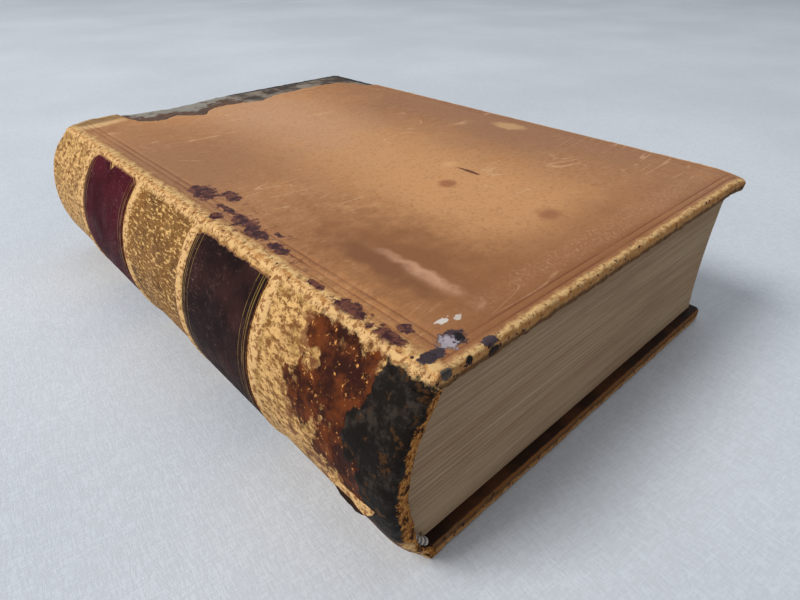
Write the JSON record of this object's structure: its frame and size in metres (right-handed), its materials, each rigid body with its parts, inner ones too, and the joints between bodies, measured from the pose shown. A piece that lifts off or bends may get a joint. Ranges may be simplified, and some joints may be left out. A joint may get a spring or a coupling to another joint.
{
  "type": "leather-bound book",
  "caption": "Thick old book in full leather with a rounded back, low raised bands and two blank labels; covers and front leaves turn.",
  "frame": {"origin": "bottom centre of the bounding box, on the outer face of the back cover", "axes": "+X from the spine to the fore edge, +Y from the tail to the head, +Z from the back cover to the front cover"},
  "size_m": [0.1698, 0.24, 0.061],
  "materials": {
    "cover_leather": "smooth tan calf, worn and scuffed, pale and fuzzy at the edges",
    "back_leather": "mottled tan leather, dark stain towards the tail",
    "title_label": "thin polished burgundy skiver with worn gilt lines",
    "volume_label": "thin polished black skiver with worn gilt lines",
    "text_paper": "aged laid paper, edges greyed",
    "endpaper": "plain cream paper, toned",
    "pulpboard": "dense grey-brown board",
    "mull": "open starched cotton",
    "cord": "twisted hemp",
    "endband_thread": "white and grey thread over a core"
  },
  "bodies": {
    "text_block": {"back_shoulder_folds": "text_paper", "front_shoulder_folds": "text_paper", "gathering_04": "text_paper", "gathering_05": "text_paper", "gathering_06": "text_paper", "gathering_07": "text_paper", "gathering_08": "text_paper", "gathering_09": "text_paper", "gathering_10": "text_paper", "gathering_11": "text_paper", "gathering_12": "text_paper", "gathering_13": "text_paper", "gathering_14": "text_paper", "gathering_15": "text_paper", "gathering_16": "text_paper", "gathering_17": "text_paper", "gathering_18": "text_paper", "gathering_19": "text_paper", "gathering_20": "text_paper", "gathering_21": "text_paper", "gathering_22": "text_paper", "gathering_23": "text_paper", "gathering_24": "text_paper", "gathering_25": "text_paper", "gathering_26": "text_paper", "gathering_27": "text_paper", "head_endband": "endband_thread", "head_kettle_stitch": "cord", "hollow_back": "pulpboard", "lower_label": "volume_label", "raised_band_1": "cord", "raised_band_2": "cord", "raised_band_3": "cord", "raised_band_4": "cord", "sewing_cord_1": "cord", "sewing_cord_2": "cord", "sewing_cord_3": "cord", "sewing_cord_4": "cord", "sewing_cord_5": "cord", "spine_leather": "back_leather", "spine_mull": "mull", "tail_endband": "endband_thread", "tail_kettle_stitch": "cord", "upper_label": "title_label"},
    "front_cover": {"front_board": "pulpboard", "front_cover_leather": "cover_leather", "front_board_infill": "pulpboard", "front_pastedown": "endpaper"},
    "back_cover": {"back_board": "pulpboard", "back_cover_leather": "cover_leather", "back_board_infill": "pulpboard", "back_pastedown": "endpaper"},
    "front_free_endpaper": {"front_free_endpaper": "endpaper"},
    "front_gathering_1": {"front_gathering_1": "text_paper"},
    "front_gathering_2": {"front_gathering_2": "text_paper"},
    "front_gathering_3": {"front_gathering_3": "text_paper"},
    "back_free_endpaper": {"back_free_endpaper": "endpaper"},
    "back_gathering_1": {"back_gathering_1": "text_paper"},
    "back_gathering_2": {"back_gathering_2": "text_paper"}
  },
  "joints": [
    {"name": "front_cover_hinge", "type": "hinge", "parent": "text_block", "child": "front_cover", "pos_m": [-0.0711, 0, 0.061], "axis": [0, -1, 0], "range_deg": [0, 178]},
    {"name": "back_cover_hinge", "type": "hinge", "parent": "text_block", "child": "back_cover", "pos_m": [-0.0711, 0, 0], "axis": [0, 1, 0], "range_deg": [0, 178]},
    {"name": "front_free_endpaper_turn", "type": "hinge", "parent": "text_block", "child": "front_free_endpaper", "pos_m": [-0.0711, 0, 0.061], "axis": [0, -1, 0], "range_deg": [0, 170.1]},
    {"name": "front_gathering_1_turn", "type": "hinge", "parent": "text_block", "child": "front_gathering_1", "pos_m": [-0.0711, 0, 0.061], "axis": [0, -1, 0], "range_deg": [0, 150.5]},
    {"name": "front_gathering_2_turn", "type": "hinge", "parent": "text_block", "child": "front_gathering_2", "pos_m": [-0.0711, 0, 0.061], "axis": [0, -1, 0], "range_deg": [0, 125.6]},
    {"name": "front_gathering_3_turn", "type": "hinge", "parent": "text_block", "child": "front_gathering_3", "pos_m": [-0.0711, 0, 0.061], "axis": [0, -1, 0], "range_deg": [0, 93.6]},
    {"name": "back_free_endpaper_turn", "type": "hinge", "parent": "text_block", "child": "back_free_endpaper", "pos_m": [-0.0711, 0, 0], "axis": [0, 1, 0], "range_deg": [0, 170.1]},
    {"name": "back_gathering_1_turn", "type": "hinge", "parent": "text_block", "child": "back_gathering_1", "pos_m": [-0.0711, 0, 0], "axis": [0, 1, 0], "range_deg": [0, 150.5]},
    {"name": "back_gathering_2_turn", "type": "hinge", "parent": "text_block", "child": "back_gathering_2", "pos_m": [-0.0711, 0, 0], "axis": [0, 1, 0], "range_deg": [0, 125.6]}
  ],
  "couplings": [
    {"joint": "front_free_endpaper_turn", "follows": "front_cover_hinge", "ratio": 0.95},
    {"joint": "front_gathering_1_turn", "follows": "front_cover_hinge", "ratio": 0.84},
    {"joint": "front_gathering_2_turn", "follows": "front_cover_hinge", "ratio": 0.7},
    {"joint": "front_gathering_3_turn", "follows": "front_cover_hinge", "ratio": 0.52},
    {"joint": "back_free_endpaper_turn", "follows": "back_cover_hinge", "ratio": 0.95},
    {"joint": "back_gathering_1_turn", "follows": "back_cover_hinge", "ratio": 0.84},
    {"joint": "back_gathering_2_turn", "follows": "back_cover_hinge", "ratio": 0.7}
  ]
}
